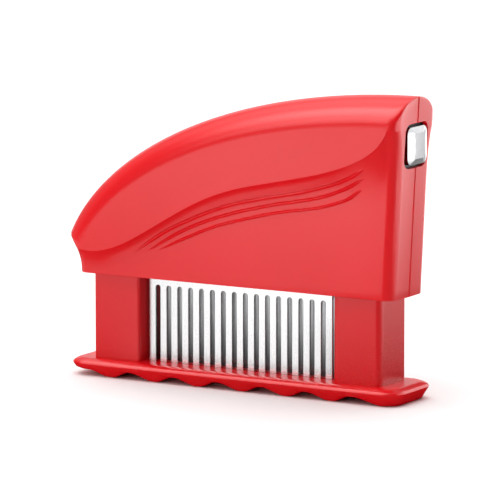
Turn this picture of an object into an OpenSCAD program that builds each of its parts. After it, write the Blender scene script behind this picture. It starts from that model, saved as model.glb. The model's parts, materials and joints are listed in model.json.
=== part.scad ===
// Blade meat tenderizer: a sprung handle carries a block of blades down through a guard foot.
// Millimetres, +Z up. X runs along the handle, from its nose to the button end.
// The origin is on the table, below the middle of the handle.

/* [Handle] */
// Distance from the origin to the button end, at the handle's lower edge
end_x = 73.9; // [71:0.1:77]
// Distance from the origin to the tip of the nose
nose_x = 77.6; // [76:0.1:79]
// Height of the nose's tip above the handle's lower edge
nose_z = 16; // [14:0.2:18]
// How far the front of the nose draws in from its tip to the lower edge
nose_draw = 8.3; // [7:0.1:10]
// Height of the handle above its own lower edge
handle_h = 77.8; // [72:0.2:84]
// Height of the handle's lower edge above the table, at rest
handle_z = 41; // [38:0.2:44]
// Width across the upper bulge
bulge_w = 32; // [30:0.2:36]
// Width across the lower panels
panel_w = 25.5; // [25.2:0.1:27]
// Thickness of the shells
wall = 1.9; // [1.6:0.1:2.2]
// Depth of the rounding along the top of the bulge, at the button end
dome_r = 11; // [9:0.5:12]
// Depth of the same rounding at the nose
nose_r = 12.5; // [11:0.1:13]
// Radius of the upright corners at the button end and at the foot of the nose
corner_r = 4.5; // [3.5:0.1:6]
// Outward lean of the upright faces, in mm for each mm of height
lean = 0.038; // [0.02:0.001:0.05]
// Crown of the button end across its width
end_crown = 0.3; // [0.1:0.1:0.6]
// Height of the scoop below the lip, along the side
scoop_h = 8; // [6:0.5:9]
// Height over which the lip fades out into the button end
fade_h = 34; // [26:1:38]
// Distance from the origin at which the lip starts to fade
fade_from = 45; // [40:1:50]

/* [Blades] */
// Middle of the blade rows along X
blade_x = 1; // [0:0.1:2]
// Number of blades in a row
blade_n = 17; // [15:1:17]
// Distance from one blade to the next
blade_pitch = 5; // [4.8:0.05:5]
// Width of one blade
blade_w = 2.7; // [2.4:0.05:3]
// Thickness of the blade steel
blade_t = 0.8; // [0.6:0.05:1]
// Distance between the rows of blades
row_pitch = 5; // [4.6:0.1:5.2]
// Height of the blade tips above the table, at rest
tip_z = 2.6; // [2:0.1:3.4]
// Height of the pointed end of a blade
tip_h = 3; // [2:0.1:3.6]
// Distance from the handle's lower edge down to the round tops of the gaps between blades
gap_drop = 3.4; // [2:0.1:5]
// Height of a comb's solid back inside the handle
back_h = 20; // [18:0.5:22]

/* [Foot] */
// Middle of the foot along X
foot_x = 1.8; // [1:0.1:2.2]
// Length of the foot at its edge line
foot_len = 149.6; // [147:0.2:152]
// Width of the foot at its edge line
foot_w = 32; // [31:0.2:34]
// Radius of the foot's corners
foot_r = 7.5; // [5:0.1:8.5]
// Height of the foot's edge line above the table
edge_z = 5; // [4.5:0.1:5.6]
// Height of the foot's flat top above the table
foot_z = 6.9; // [6.4:0.1:7.6]
// Width of the sloped border round the flat top
border_w = 3; // [2:0.1:4]
// Inward taper of the foot's side at the table
foot_taper = 2.2; // [1:0.1:3]
// Depth of the waves along the foot's underside
wave_depth = 2.6; // [1.6:0.1:2.8]
// Length of one wave
wave_pitch = 20; // [18:0.5:20]
// Number of waves
wave_n = 7; // [5:1:7]
// Play of the blades in the foot's slots, on each side
slot_gap = 0.4; // [0.3:0.05:0.6]

/* [Columns] */
// Middle of the left column along X
left_x = -52.7; // [-53.5:0.1:-52.2]
// Length of the left column along X
left_len = 20.8; // [19:0.1:21]
// Middle of the right column along X
right_x = 56; // [55.5:0.1:57]
// Length of the right column along X
right_len = 21.3; // [20:0.1:22]
// Width of both columns
col_w = 20.8; // [19.5:0.1:21]
// Wall of both columns
col_t = 2; // [1.6:0.1:2.2]
// Radius of the right column's corners
right_r = 2.4; // [1.6:0.1:2.4]
// Radius of the left column's corners
left_r = 1.2; // [0.8:0.1:2.4]
// Thickness of the columns' floor
floor_t = 3.5; // [3:0.1:4.5]
// Height of the right column above the handle's lower edge, at rest
right_rise = 21; // [18:0.5:22]
// Height of the left column's low end above the handle's lower edge, at rest
left_rise = 2; // [1:0.1:2.4]

/* [Motion] */
// How far the handle is pressed down
stroke = 25; // [20:0.5:26]
// How far the button is pressed in
press = 3; // [2:0.1:3.2]
// Gap between pieces that lie close together
seat_gap = 0.3; // [0.2:0.05:0.35]
// Gap round the columns inside the handle
slide_gap = 0.6; // [0.45:0.05:0.8]

/* [Springs] */
// Radius of a return spring to the middle of its wire
spring_r = 3.9; // [3.6:0.1:4]
// Radius of a return spring's wire
wire_r = 0.4; // [0.3:0.05:0.6]
// Turns of a return spring
spring_n = 11; // [8:1:12]
// Height of the arms that the return springs push on, above the handle's lower edge
arm_z = 31; // [30:0.5:33]
// Thickness of the arms
arm_t = 4; // [3:0.5:4.5]
// Inner radius of the tubes that the return springs stand in
tube_r = 5.5; // [5.3:0.1:6]
// Radius of the guide pins inside the return springs
pin_r = 2; // [1.6:0.1:2.2]

/* [Button] */
// Distance from the top of the handle down to the button's middle
button_drop = 18.7; // [17.8:0.1:20]
// Width of the button
button_w = 15.2; // [14:0.1:16]
// Height of the button
button_h = 14.6; // [13.6:0.1:15.4]
// Radius of the button's corners
button_r = 2.8; // [2:0.1:3.4]
// Gap round the button
button_gap = 1.2; // [0.8:0.1:1.5]
// How far the button stands out of the end
button_out = 1.6; // [1:0.1:2]
// Width of the bevel round the button's face
button_bevel = 2.6; // [2:0.1:3]
// Thickness of the latch slide
slide_t = 2; // [1.6:0.1:2.4]
// Width of the latch's head
head_w = 6; // [5:0.1:7]
// Width of the latch's neck
neck_w = 2.8; // [2.4:0.1:3.4]
// Height of the latch's head
head_h = 4; // [3.4:0.1:4.4]

/* [Fasteners] */
// Radius of the shell screws' shanks
screw_r = 1.5; // [1.3:0.05:1.6]
// Radius of the shell screws' heads
screw_head_r = 2.8; // [2.4:0.1:3]
// Radius of the rivets through the blade block
rivet_r = 1.5; // [1.2:0.05:1.8]
// Play round a shank in its hole
hole_gap = 0.1; // [0.06:0.01:0.15]

/* [Hidden] */

red = [0.82, 0.07, 0.08];
dark_red = [0.62, 0.05, 0.06];
steel = [0.78, 0.79, 0.8];
bright = [0.9, 0.9, 0.92];
grey = [0.35, 0.35, 0.37];
eps = 0.01;

// ---- the handle's outer form ----
// Stations are [u, z]: u runs along X before the lean is added, z is height above the lower edge.
half_bulge = bulge_w / 2;
half_panel = panel_w / 2;
corner_u = end_x - corner_r;            // where the upright corner begins
top_curve = [
    [-nose_x, nose_z],
    [-nose_x + 15.6, 0.68 * handle_h],
    [-2, handle_h + 0.2],
    [end_x, handle_h]
];
lip_mid = [-0.4, 0.486 * handle_h];
lip_low = [
    [-nose_x + 6.2, nose_z - 5.1],
    [-nose_x + 29, nose_z - 12.7],
    [-32.1, lip_mid[1] - 10.1],
    lip_mid
];
lip_high = [
    lip_mid,
    [21.2, lip_mid[1] + 7],
    [corner_u - 5.2, lip_mid[1] + 9.2],
    [corner_u, handle_h - dome_r - 0.9]
];
lip_front = [7.7, 1.6];                 // how far the lip runs forward and up round the nose
front_inset = [0.89, 0.48];             // inward directions for a skin's thickness, at the nose's lip
tip_inset = [1.15, 0.15];               // and at its tip

function bez(p, t) =
    pow(1 - t, 3) * p[0] + 3 * pow(1 - t, 2) * t * p[1] + 3 * (1 - t) * t * t * p[2] + pow(t, 3) * p[3];
function bez_dir(p, t) =
    pow(1 - t, 2) * (p[1] - p[0]) + 2 * (1 - t) * t * (p[2] - p[1]) + t * t * (p[3] - p[2]);
function t_at(p, u, lo = 0, hi = 1, n = 20) =
    let (m = (lo + hi) / 2)
    n == 0 ? m : bez(p, m)[0] < u ? t_at(p, u, m, hi, n - 1) : t_at(p, u, lo, m, n - 1);
function z_at(p, u) = bez(p, t_at(p, u))[1];
function lip_z(u) = u < lip_mid[0] ? z_at(lip_low, max(u, lip_low[0][0])) : z_at(lip_high, min(u, corner_u));
function smooth(q) = let (c = min(1, max(0, q))) c * c * (3 - 2 * c);
function fade(u) = smooth((u - fade_from) / (corner_u - fade_from));

side_rows = 25;
corner_rows = 4;
row_n = side_rows + corner_rows;
arc_n = 8;
col_n = arc_n + row_n;
flat_n = 2;
scoop_n = 5;
panel_n = 2;
low_n = flat_n + scoop_n + panel_n;
cap_n = arc_n + low_n;
t_end = t_at(top_curve, corner_u);

// One row of the bulge, for a skin that lies w inside: [top, edge, y of the edge].
// The rounding starts at the top, on the middle plane, and ends at the edge of the flat side.
function row_at(k, w) =
    k <= side_rows
    ? let (
        t = t_end * k / side_rows,
        p = bez(top_curve, t),
        d = bez_dir(top_curve, t) / norm(bez_dir(top_curve, t)),
        n = [d[1], -d[0]],
        r = nose_r + (dome_r - nose_r) * k / side_rows
      )
      [p + w * (k == 0 ? tip_inset : n), p + r * n, half_bulge - w]
    : let (
        c = 90 * (k - side_rows) / corner_rows,
        u = corner_u + (corner_r - w) * sin(c),
        z = z_at(top_curve, u) - w,
        y = half_bulge - w - (corner_r - w) * (1 - cos(c))
      )
      [[u, z], [u, z - (dome_r - w) * y / (half_bulge - w)], y];
function place(u, y, z) = [u + lean * z, -y, z];
function dome_point(k, j, w) =
    let (
        row = row_at(k, w),
        a = 90 * j / arc_n,
        p = row[0] + (row[1] - row[0]) * (1 - cos(a))
    )
    place(p[0], row[2] * sin(a), p[1]);

// One column below the bulge:
// [lip, y of the lip, u and y at the lower edge, share of the way round the nose].
// The first columns go round the nose, from the middle plane to the flat side.
function column_at(m, w) =
    let (
        r = corner_r - w,
        u0 = -nose_x + nose_draw + w,
        y0 = half_panel - w - r,
        side = row_at(max(0, m - arc_n), w),
        lip = [side[1][0], lip_z(side[1][0])],
        s = m / arc_n,
        c = cos(90 * s),
        b = 180 * (s - 0.5)
    )
    m >= arc_n
    ? [lip, side[2], [max(lip[0], u0 + r), side[2] - half_bulge + half_panel], 1]
    : [
        lip + c * ([-lip_front[0], lip_front[1]] + w * front_inset),
        (half_bulge - w) * sin(90 * s),
        s < 0.5 ? [u0, y0 * 2 * s] : [u0 + r * (1 - cos(b)), y0 + r * sin(b)],
        s
      ];
function low_point(m, l, w) =
    let (
        col = column_at(m, w),
        lip = col[0],
        foot = col[2],
        s = col[3],
        f = fade(lip[0]),
        h = min((0.9 - 0.1 * s) * lip[1], (1 - s) * lip[1] + s * (scoop_h + (fade_h - scoop_h) * f)),
        i = l - flat_n,
        drop = i <= scoop_n ? h * pow(i / scoop_n, 1.2) : h + (lip[1] - h) * (i - scoop_n) / panel_n,
        q = min(1, drop / h),
        bulge = (1 - f) * pow(1 - q, 1.2 * (1 + s)) + f * pow(1 - q, 1.5),
        top = m <= arc_n ? dome_point(0, m, w) : dome_point(m - arc_n, arc_n, w)
    )
    l < flat_n ? top + (place(lip[0], col[1], lip[1]) - top) * l / flat_n :
    place(
        lip[0] + (foot[0] - lip[0]) * drop / lip[1],
        foot[1] + (col[1] - foot[1]) * bulge,
        lip[1] - drop
    );
function to_middle(p) = [p[0] + end_crown, 0, p[2]];
function skin(w) = concat(
    [for (k = [0 : row_n], j = [0 : arc_n]) dome_point(k, j, w)],
    [for (m = [0 : col_n], l = [1 : low_n]) low_point(m, l, w)],
    [for (j = [1 : arc_n]) to_middle(dome_point(row_n, j, w))],
    [for (l = [1 : low_n]) to_middle(low_point(col_n, l, w))]
);

// indices of those points: bulge, below the bulge, and the middle line of the button end
dome_count = (row_n + 1) * (arc_n + 1);
low_count = (col_n + 1) * low_n;
grid_n = dome_count + low_count + cap_n;
function d_i(k, j) = k * (arc_n + 1) + j;
function l_i(m, l) =
    l > 0 ? dome_count + m * low_n + l - 1 :
    m <= arc_n ? d_i(0, m) : d_i(m - arc_n, arc_n);
function end_i(i) = i <= arc_n ? d_i(row_n, i) : l_i(col_n, i - arc_n);
function mid_i(i) = i == 0 ? d_i(row_n, 0) : dome_count + low_count + i - 1;
function quad(a, b, c, d) = [[a, b, c], [a, c, d]];
function rim(a, b) = quad(b, a, a + grid_n, b + grid_n);
outer_faces = concat(
    [for (k = [0 : row_n - 1], j = [0 : arc_n - 1])
        each quad(d_i(k, j), d_i(k + 1, j), d_i(k + 1, j + 1), d_i(k, j + 1))],
    [for (m = [0 : col_n - 1], l = [0 : low_n - 1])
        each quad(l_i(m, l), l_i(m + 1, l), l_i(m + 1, l + 1), l_i(m, l + 1))],
    [for (i = [1 : cap_n - 1]) each quad(end_i(i), mid_i(i), mid_i(i + 1), end_i(i + 1))],
    [[mid_i(0), mid_i(1), end_i(1)]]
);
inner_faces = [for (f = outer_faces) [f[0] + grid_n, f[2] + grid_n, f[1] + grid_n]];
rim_faces = concat(
    [for (k = [0 : row_n - 1]) each rim(d_i(k, 0), d_i(k + 1, 0))],
    [for (i = [0 : cap_n - 1]) each rim(mid_i(i), mid_i(i + 1))],
    rim(mid_i(cap_n), end_i(cap_n)),
    [for (m = [0 : col_n - 1]) each rim(l_i(m + 1, low_n), l_i(m, low_n))],
    [for (l = [0 : low_n - 1]) each rim(l_i(0, l + 1), l_i(0, l))]
);

module half_shell() {
    polyhedron(
        points = concat(skin(0), skin(wall)),
        faces = concat(outer_faces, inner_faces, rim_faces)
    );
}

// ---- places shared by several pieces ----
post_r = 3.4;
rear_post_r = 4.4;
head_depth = 2.2;
pilot_r = screw_r - 0.2;
high_screws = [[-30, 0.55 * handle_h], [4, 0.7 * handle_h], [38, 0.79 * handle_h]];
low_screws = [[-6, 0.355 * handle_h], [32, 0.355 * handle_h]];
lug_y = 6.8;                            // half width of the frame where the low screws pass

comb_w = (blade_n - 1) * blade_pitch + blade_w;
comb_x0 = blade_x - comb_w / 2;
blade_gap = blade_pitch - blade_w;
comb_z1 = handle_z + back_h;
block_y = half_panel - wall - slide_gap + 0.2;   // half width of the guide frame
bar_t = 3;                              // thickness of the clamp bars
bay_y = row_pitch + blade_t / 2 + bar_t + seat_gap;
bay_z1 = comb_z1 + seat_gap;
arm_y = 4.5;
arm_z0 = handle_z + arm_z;
arm_z1 = arm_z0 + arm_t;
frame_z0 = handle_z + 1;
frame_x0 = left_x + left_len / 2 + slide_gap;
frame_x1 = right_x - right_len / 2 - slide_gap;
rivet_z = handle_z + 0.6 * back_h;
rivet_xs = [for (i = [-1 : 1]) blade_x + i * 0.37 * comb_w];

floor_z = foot_z + floor_t;
spring_z0 = floor_z;
spring_z1 = arm_z0;
left_spring_x = left_x;
right_spring_x = right_x - 1.6;
right_spring_edge = right_spring_x + spring_r + wire_r;

tongue_x1 = right_x + right_len / 2;
tongue_x0 = tongue_x1 - col_t;
head_z0 = handle_z + 2 + stroke + seat_gap;
head_z1 = head_z0 + head_h;
tongue_z1 = head_z1 + 4;
tongue_w = head_w + 4.4;
slide_y = 10.3;
button_z = handle_h - button_drop;
inner_end = end_x - wall + end_crown;   // inside of the button end, at the handle's lower edge
flange_z0 = handle_z + button_z - button_h / 2 - 3;
flange_z1 = handle_z + button_z + button_h / 2 + 3;
flange_x1 = inner_end + lean * (flange_z0 - handle_z) - seat_gap - end_crown;
flange_x0 = flange_x1 - slide_t;
leg_x1 = flange_x1 - 0.9;
leg_x0 = leg_x1 - slide_t;
bracket_x1 = tongue_x0 - press - 1.1;
bracket_t = 2.2;
bracket_z1 = flange_z1 - 2;             // the bracket stops below the top of the latch slide
stub_len = 2.5;                         // studs that centre the button springs
screw_reach = 8;                        // how far the long screws go into the front shell
screw_stop = 2.4;                       // and how far the short ones stay behind its outer face
core_l = 10;                            // length of the hollows above the bay
core_wall = 2;
core_xs = [for (i = [-0.396, 0.0725, 0.4565]) blade_x + i * comb_w];
button_spring_y = 8.1;
button_spring_r = 2.2;
button_spring_wire = 0.4;
stub_r = button_spring_r - button_spring_wire - seat_gap;
button_x1 = end_x + end_crown + lean * button_z + button_out;
bevel_x0 = button_x1 - 0.8 * button_out;  // where the bevel round the button's face begins
bevel_w = button_w - 2 * button_bevel;
bevel_h = button_h - 2 * button_bevel;

module round_box(x0, x1, w, z0, z1, r) {
    translate([x0, -w / 2 + r, z0]) cube([x1 - x0, w - 2 * r, z1 - z0]);
    translate([x0 + r, -w / 2, z0]) cube([x1 - x0 - 2 * r, w, z1 - z0]);
    for (x = [x0 + r, x1 - r], y = [-w / 2 + r, w / 2 - r])
        translate([x, y, z0]) cylinder(r = r, h = z1 - z0, $fn = 32);
}

module along_y(x, z, r, y0, y1) {
    translate([x, y0, z]) rotate([-90, 0, 0]) cylinder(r = r, h = y1 - y0, $fn = 32);
}

module along_x(y, z, r, x0, x1) {
    translate([x0, y, z]) rotate([0, 90, 0]) cylinder(r = r, h = x1 - x0, $fn = 32);
}

// outline of the button or of its window, in the YZ plane, from x0 to x1
module button_block(x0, x1, w, h, r) {
    z = handle_z + button_z;
    translate([x0, -w / 2 + r, z - h / 2]) cube([x1 - x0, w - 2 * r, h]);
    translate([x0, -w / 2, z - h / 2 + r]) cube([x1 - x0, w, h - 2 * r]);
    for (y = [-w / 2 + r, w / 2 - r], dz = [-h / 2 + r, h / 2 - r]) along_x(y, z + dz, r, x0, x1);
}

// ---- coil springs ----
coil_sides = 5;
coil_steps = 10;
// ring of points round the wire, turn by turn; the axis is +Z from 0 to h
function coil_points(r, w, h, n) = [
    for (i = [0 : n * coil_steps], s = [0 : coil_sides - 1])
        let (
            a = 360 * i / coil_steps,
            b = 360 * s / coil_sides,
            z = w + (h - 2 * w) * i / (n * coil_steps)
        )
        [(r + w * cos(b)) * cos(a), (r + w * cos(b)) * sin(a), z + w * sin(b)]
];
function coil_faces(n) =
    let (m = n * coil_steps, c = coil_sides)
    concat(
        [for (i = [0 : m - 1], s = [0 : c - 1])
            each [
                [i * c + s, i * c + (s + 1) % c, (i + 1) * c + (s + 1) % c],
                [i * c + s, (i + 1) * c + (s + 1) % c, (i + 1) * c + s]
            ]],
        [[for (s = [c - 1 : -1 : 0]) s]],
        [[for (s = [0 : c - 1]) m * c + s]]
    );

module coil(r, w, h, n) {
    polyhedron(points = coil_points(r, w, h, n), faces = coil_faces(n));
}

// ---- foot ----
module foot_slab(inset, z, t) {
    r = foot_r - min(inset, foot_r - 1) * 0.6;
    for (sx = [-1, 1], sy = [-1, 1])
        translate([
            foot_x + sx * (foot_len / 2 - inset - r),
            sy * (foot_w / 2 - inset - r),
            z
        ]) cylinder(r = r, h = t, $fn = 32);
}

wave_x0 = foot_x - foot_len / 2 + 8;
wave_end = wave_x0 + (wave_n - 1) * wave_pitch;
wave_crest = 0.57;
wave_last = 0.77;                       // share of a pitch that the last, flat-ended wave takes to its crest
wave_steps = 10;
function wave_phase(t) =
    t < wave_crest ? 0.5 * t / wave_crest : 0.5 + 0.5 * (t - wave_crest) / (1 - wave_crest);
// height of the underside at phase p of one wave, with a flat land along each crest
function wave_height(p) = max(0, 1.04 * wave_depth * (1 + cos(360 * p)) / 2 - 0.04 * wave_depth);
function wave_at(i) =
    min((i < wave_steps / 2 ? 0.88 : 1) * wave_depth, wave_height(wave_phase((i % wave_steps) / wave_steps)));
wave_line = concat(
    [for (i = [0 : (wave_n - 1) * wave_steps])
        [wave_x0 + wave_pitch * i / wave_steps, wave_at(i)]],
    [for (i = [1 : wave_steps])
        [wave_end + wave_last * wave_pitch * i / wave_steps, wave_height(0.5 * i / wave_steps)]]
);

function column_screws(x, len) = [
    [x - len / 2 + col_t + 2.3, -col_w / 2 + col_t + 2.3],
    [x + len / 2 - col_t - 2.3, col_w / 2 - col_t - 2.3]
];
foot_screw_places = concat(column_screws(left_x, left_len), column_screws(right_x, right_len));
foot_head_z0 = 2;
foot_head_z1 = foot_head_z0 + 1.8;
boss_z1 = floor_z + 5;
boss_r = screw_r + 1.3;
rib_t = 1.2;
tube_z1 = handle_z + 0.5;
left_z1 = handle_z + left_rise + 0.8 * left_len;

module foot_plate() color(red) difference() {
    union() {
        hull() {
            foot_slab(foot_taper, 0, 0.1);
            foot_slab(0, edge_z - 0.1, 0.1);
        }
        hull() {
            foot_slab(0, edge_z - 0.1, 0.1);
            foot_slab(border_w, foot_z - 0.1, 0.1);
        }
    }
    rotate([90, 0, 0]) linear_extrude(foot_w + 2, center = true)
        polygon(concat(
            [[foot_x - foot_len, -1], [foot_x - foot_len, 0.88 * wave_depth]],
            wave_line,
            [[wave_end + wave_last * wave_pitch, -1]]
        ));
    for (i = [-1 : 1])
        translate([blade_x, i * row_pitch, 0])
            cube([comb_w + 2 * slot_gap, blade_t + 2 * slot_gap, 3 * foot_z], center = true);
    for (p = foot_screw_places) translate([p[0], p[1], 0]) {
        translate([0, 0, -1]) cylinder(r = screw_r + hole_gap, h = foot_z + 2, $fn = 32);
        translate([0, 0, -1]) cylinder(r = screw_head_r + seat_gap, h = foot_head_z1 + 1, $fn = 32);
    }
}

// A moulded column: outer walls, a floor, and a tube for the return spring held by four ribs
module column_body(x, len, z1, r, spring_x) {
    x0 = x - len / 2;
    x1 = x + len / 2;
    difference() {
        round_box(x0, x1, col_w, foot_z, z1, r);
        translate([x0 + col_t, -col_w / 2 + col_t, floor_z]) cube([len - 2 * col_t, col_w - 2 * col_t, z1]);
    }
    for (p = column_screws(x, len))
        translate([p[0], p[1], foot_z]) cylinder(r = boss_r, h = boss_z1 - foot_z, $fn = 32);
    difference() {
        union() {
            translate([spring_x, 0, foot_z]) cylinder(r = tube_r + rib_t, h = tube_z1 - foot_z, $fn = 48);
            translate([x0 + 1, -rib_t / 2, foot_z]) cube([len - 2, rib_t, tube_z1 - foot_z]);
            translate([spring_x - rib_t / 2, -col_w / 2 + 1, foot_z])
                cube([rib_t, col_w - 2, tube_z1 - foot_z]);
        }
        translate([spring_x, 0, floor_z]) cylinder(r = tube_r, h = z1, $fn = 48);
    }
}

module column_holes(x, len) {
    for (p = column_screws(x, len))
        translate([p[0], p[1], foot_z - 1]) cylinder(r = screw_r + hole_gap, h = boss_z1 - foot_z, $fn = 32);
}

module left_column() color(red) difference() {
    column_body(left_x, left_len, left_z1, left_r, left_spring_x);
    column_holes(left_x, left_len);
    // the top follows the slope of the handle's nose
    rotate([90, 0, 0]) linear_extrude(2 * col_w, center = true) polygon([
        [left_x - left_len, handle_z + left_rise],
        [left_x - left_len / 2, handle_z + left_rise],
        [left_x + left_len / 2, left_z1],
        [left_x + left_len / 2, left_z1 + 1],
        [left_x - left_len, left_z1 + 1]
    ]);
    // way for the arm when the handle is pressed
    translate([left_spring_x, -arm_y - slide_gap, arm_z0 - stroke - slide_gap])
        cube([left_len, 2 * (arm_y + slide_gap), left_z1]);
}

module right_column() color(red) difference() {
    union() {
        column_body(right_x, right_len, handle_z + right_rise, right_r, right_spring_x);
        translate([tongue_x0, -tongue_w / 2, handle_z]) cube([col_t, tongue_w, tongue_z1 - handle_z]);
    }
    column_holes(right_x, right_len);
    translate([right_x - right_len, -arm_y - slide_gap, arm_z0 - stroke - slide_gap])
        cube([tongue_x0 - right_x + right_len, 2 * (arm_y + slide_gap), right_rise + handle_z]);
    // keyhole for the latch: wide for its head over the whole travel, narrow for its neck above that
    translate([tongue_x0 - 1, -head_w / 2 - seat_gap, head_z0 - stroke - seat_gap])
        cube([col_t + 2, head_w + 2 * seat_gap, head_h + stroke + 2 * seat_gap]);
    translate([tongue_x0 - 1, -neck_w / 2 - seat_gap, handle_z])
        cube([col_t + 2, neck_w + 2 * seat_gap, tongue_z1]);
}

module foot_screws() color(steel) for (p = foot_screw_places) translate([p[0], p[1], 0]) difference() {
    union() {
        translate([0, 0, foot_head_z0]) cylinder(r = screw_head_r, h = foot_head_z1 - foot_head_z0, $fn = 32);
        translate([0, 0, foot_head_z0]) cylinder(r = screw_r, h = boss_z1 - 1.5 - foot_head_z0, $fn = 32);
    }
    cross_recess([0, 0, foot_head_z0]);
}

module cross_recess(p) {
    translate(p) for (a = [0, 90]) rotate(a) cube([3.2, 0.8, 1.6], center = true);
}

// ---- handle ----
module button_window() {
    button_block(end_x - 6, end_x + 12, button_w + 2 * button_gap, button_h + 2 * button_gap, button_r + 0.6);
}

// a screw post from the side wall to the middle, on the side where y is negative
module post(x, z, r, y1) {
    depth = half_panel - wall / 2 + (z > handle_z + lip_z(x) ? (bulge_w - panel_w) / 2 : 0);
    along_y(x, z, r, -depth, y1);
}

module front_shell() color(red) difference() {
    union() {
        translate([0, 0, handle_z]) half_shell();
        for (p = high_screws) post(p[0], handle_z + p[1], post_r, 0);
        for (p = low_screws) post(p[0], handle_z + p[1], post_r, -lug_y - seat_gap);
    }
    for (p = high_screws) along_y(p[0], handle_z + p[1], pilot_r, -10, 1);
    for (p = low_screws) along_y(p[0], handle_z + p[1], pilot_r, -half_panel + 1.4, 1);
    button_window();
}

function head_seat(p) = (p[1] > lip_z(p[0]) ? half_bulge : half_panel) - head_depth;

module rear_shell() color(red) difference() {
    union() {
        translate([0, 0, handle_z]) mirror([0, 1, 0]) half_shell();
        for (p = high_screws) mirror([0, 1, 0]) post(p[0], handle_z + p[1], rear_post_r, 0);
        for (p = low_screws) mirror([0, 1, 0]) post(p[0], handle_z + p[1], rear_post_r, -lug_y - seat_gap);
    }
    for (p = concat(high_screws, low_screws)) {
        along_y(p[0], handle_z + p[1], screw_r + hole_gap, -1, bulge_w);
        along_y(p[0], handle_z + p[1], screw_head_r + seat_gap, head_seat(p), bulge_w);
    }
    button_window();
}

module shell_screws() color(steel) for (p = concat(high_screws, low_screws)) {
    seat = head_seat(p);
    tip = p[1] > lip_z(p[0]) ? -screw_reach : -half_panel + screw_stop;
    difference() {
        union() {
            along_y(p[0], handle_z + p[1], screw_head_r, seat, seat + 1.6);
            along_y(p[0], handle_z + p[1], pilot_r, tip, seat + 0.5);
        }
        translate([p[0], seat + 1.6, handle_z + p[1]]) rotate([90, 0, 0]) cross_recess([0, 0, 0]);
    }
}

module guide_frame() color(dark_red) difference() {
    union() {
        translate([frame_x0, -block_y, frame_z0]) cube([frame_x1 - frame_x0, 2 * block_y, arm_z1 - frame_z0]);
        translate([left_spring_x, 0, arm_z0]) cylinder(r = arm_y, h = arm_t, $fn = 48);
        translate([left_spring_x, -arm_y, arm_z0]) cube([frame_x0 - left_spring_x + 1, 2 * arm_y, arm_t]);
        translate([frame_x1 - 1, -arm_y, arm_z0]) cube([bracket_x1 - frame_x1 + 1, 2 * arm_y, arm_t]);
        translate([bracket_x1 - bracket_t, -arm_y, arm_z0]) cube([bracket_t, 2 * arm_y, bracket_z1 - arm_z0]);
        translate([bracket_x1 - bracket_t, -slide_y, flange_z0 + 1])
            cube([bracket_t, 2 * slide_y, bracket_z1 - flange_z0 - 1]);
        for (y = [-button_spring_y, button_spring_y])
            along_x(y, handle_z + button_z, stub_r, bracket_x1 - 1, bracket_x1 + stub_len);
    }
    // bay for the blade block, open below
    translate([comb_x0 - seat_gap, -bay_y, frame_z0 - 1])
        cube([comb_w + 2 * seat_gap, 2 * bay_y, bay_z1 - frame_z0 + 1]);
    // the sides step in where the low screws pass
    for (p = low_screws) {
        for (s = [-1, 1]) translate([p[0], s * (lug_y + 10), handle_z + p[1]])
            cube([2 * rear_post_r + 2, 20, 2 * rear_post_r + 2], center = true);
        along_y(p[0], handle_z + p[1], screw_r + hole_gap, -half_bulge, half_bulge);
    }
    // cored out above the bay, between the screw lugs
    for (x = core_xs) translate([x - core_l / 2, -block_y + core_wall, bay_z1 + core_wall])
        cube([core_l, 2 * (block_y - core_wall), arm_z1]);
    for (x = rivet_xs) along_y(x, rivet_z, rivet_r + hole_gap, -half_bulge, half_bulge);
    for (x = [left_spring_x, right_spring_x])
        translate([x, 0, arm_z0 - 1]) cylinder(r = pin_r + hole_gap, h = arm_t + 2, $fn = 32);
}

// ---- blade block ----
module blade_comb(y) color(steel) difference() {
    translate([0, y + blade_t / 2, 0]) rotate([90, 0, 0]) linear_extrude(blade_t) difference() {
        translate([comb_x0, tip_z]) square([comb_w, comb_z1 - tip_z]);
        for (i = [0 : blade_n - 2]) translate([comb_x0 + blade_w + blade_gap / 2 + i * blade_pitch, 0]) {
            translate([-blade_gap / 2, 0]) square([blade_gap, handle_z - gap_drop - blade_gap / 2]);
            translate([0, handle_z - gap_drop - blade_gap / 2]) circle(d = blade_gap, $fn = 24);
        }
        for (i = [0 : blade_n - 1], s = [-1, 1]) translate([comb_x0 + blade_w / 2 + i * blade_pitch, tip_z])
            polygon([[0, -eps], [s * blade_w, -eps], [s * blade_w, 2 * tip_h], [0, 0]]);
    }
    for (x = rivet_xs) along_y(x, rivet_z, rivet_r + hole_gap, y - blade_t, y + blade_t);
}

module front_blade_comb() blade_comb(-row_pitch);
module middle_blade_comb() blade_comb(0);
module rear_blade_comb() blade_comb(row_pitch);

module comb_block(y0, y1) difference() {
    translate([comb_x0 + 1, y0, handle_z + 3]) cube([comb_w - 2, y1 - y0, back_h - 4]);
    for (x = rivet_xs) along_y(x, rivet_z, rivet_r + hole_gap, y0 - 1, y1 + 1);
}

module front_comb_spacer() color(grey) comb_block(-row_pitch + blade_t / 2, -blade_t / 2);
module rear_comb_spacer() color(grey) comb_block(blade_t / 2, row_pitch - blade_t / 2);
module front_clamp_bar() color(grey) comb_block(-row_pitch - blade_t / 2 - bar_t, -row_pitch - blade_t / 2);
module rear_clamp_bar() color(grey) comb_block(row_pitch + blade_t / 2, row_pitch + blade_t / 2 + bar_t);
module blade_rivets() color(steel) for (x = rivet_xs) along_y(x, rivet_z, rivet_r, -block_y, block_y);

// ---- springs and their pins ----
module return_spring(x) color(steel) translate([x, 0, spring_z0])
    coil(spring_r, wire_r, spring_z1 - spring_z0, spring_n);
module left_return_spring() return_spring(left_spring_x);
module right_return_spring() return_spring(right_spring_x);

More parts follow.
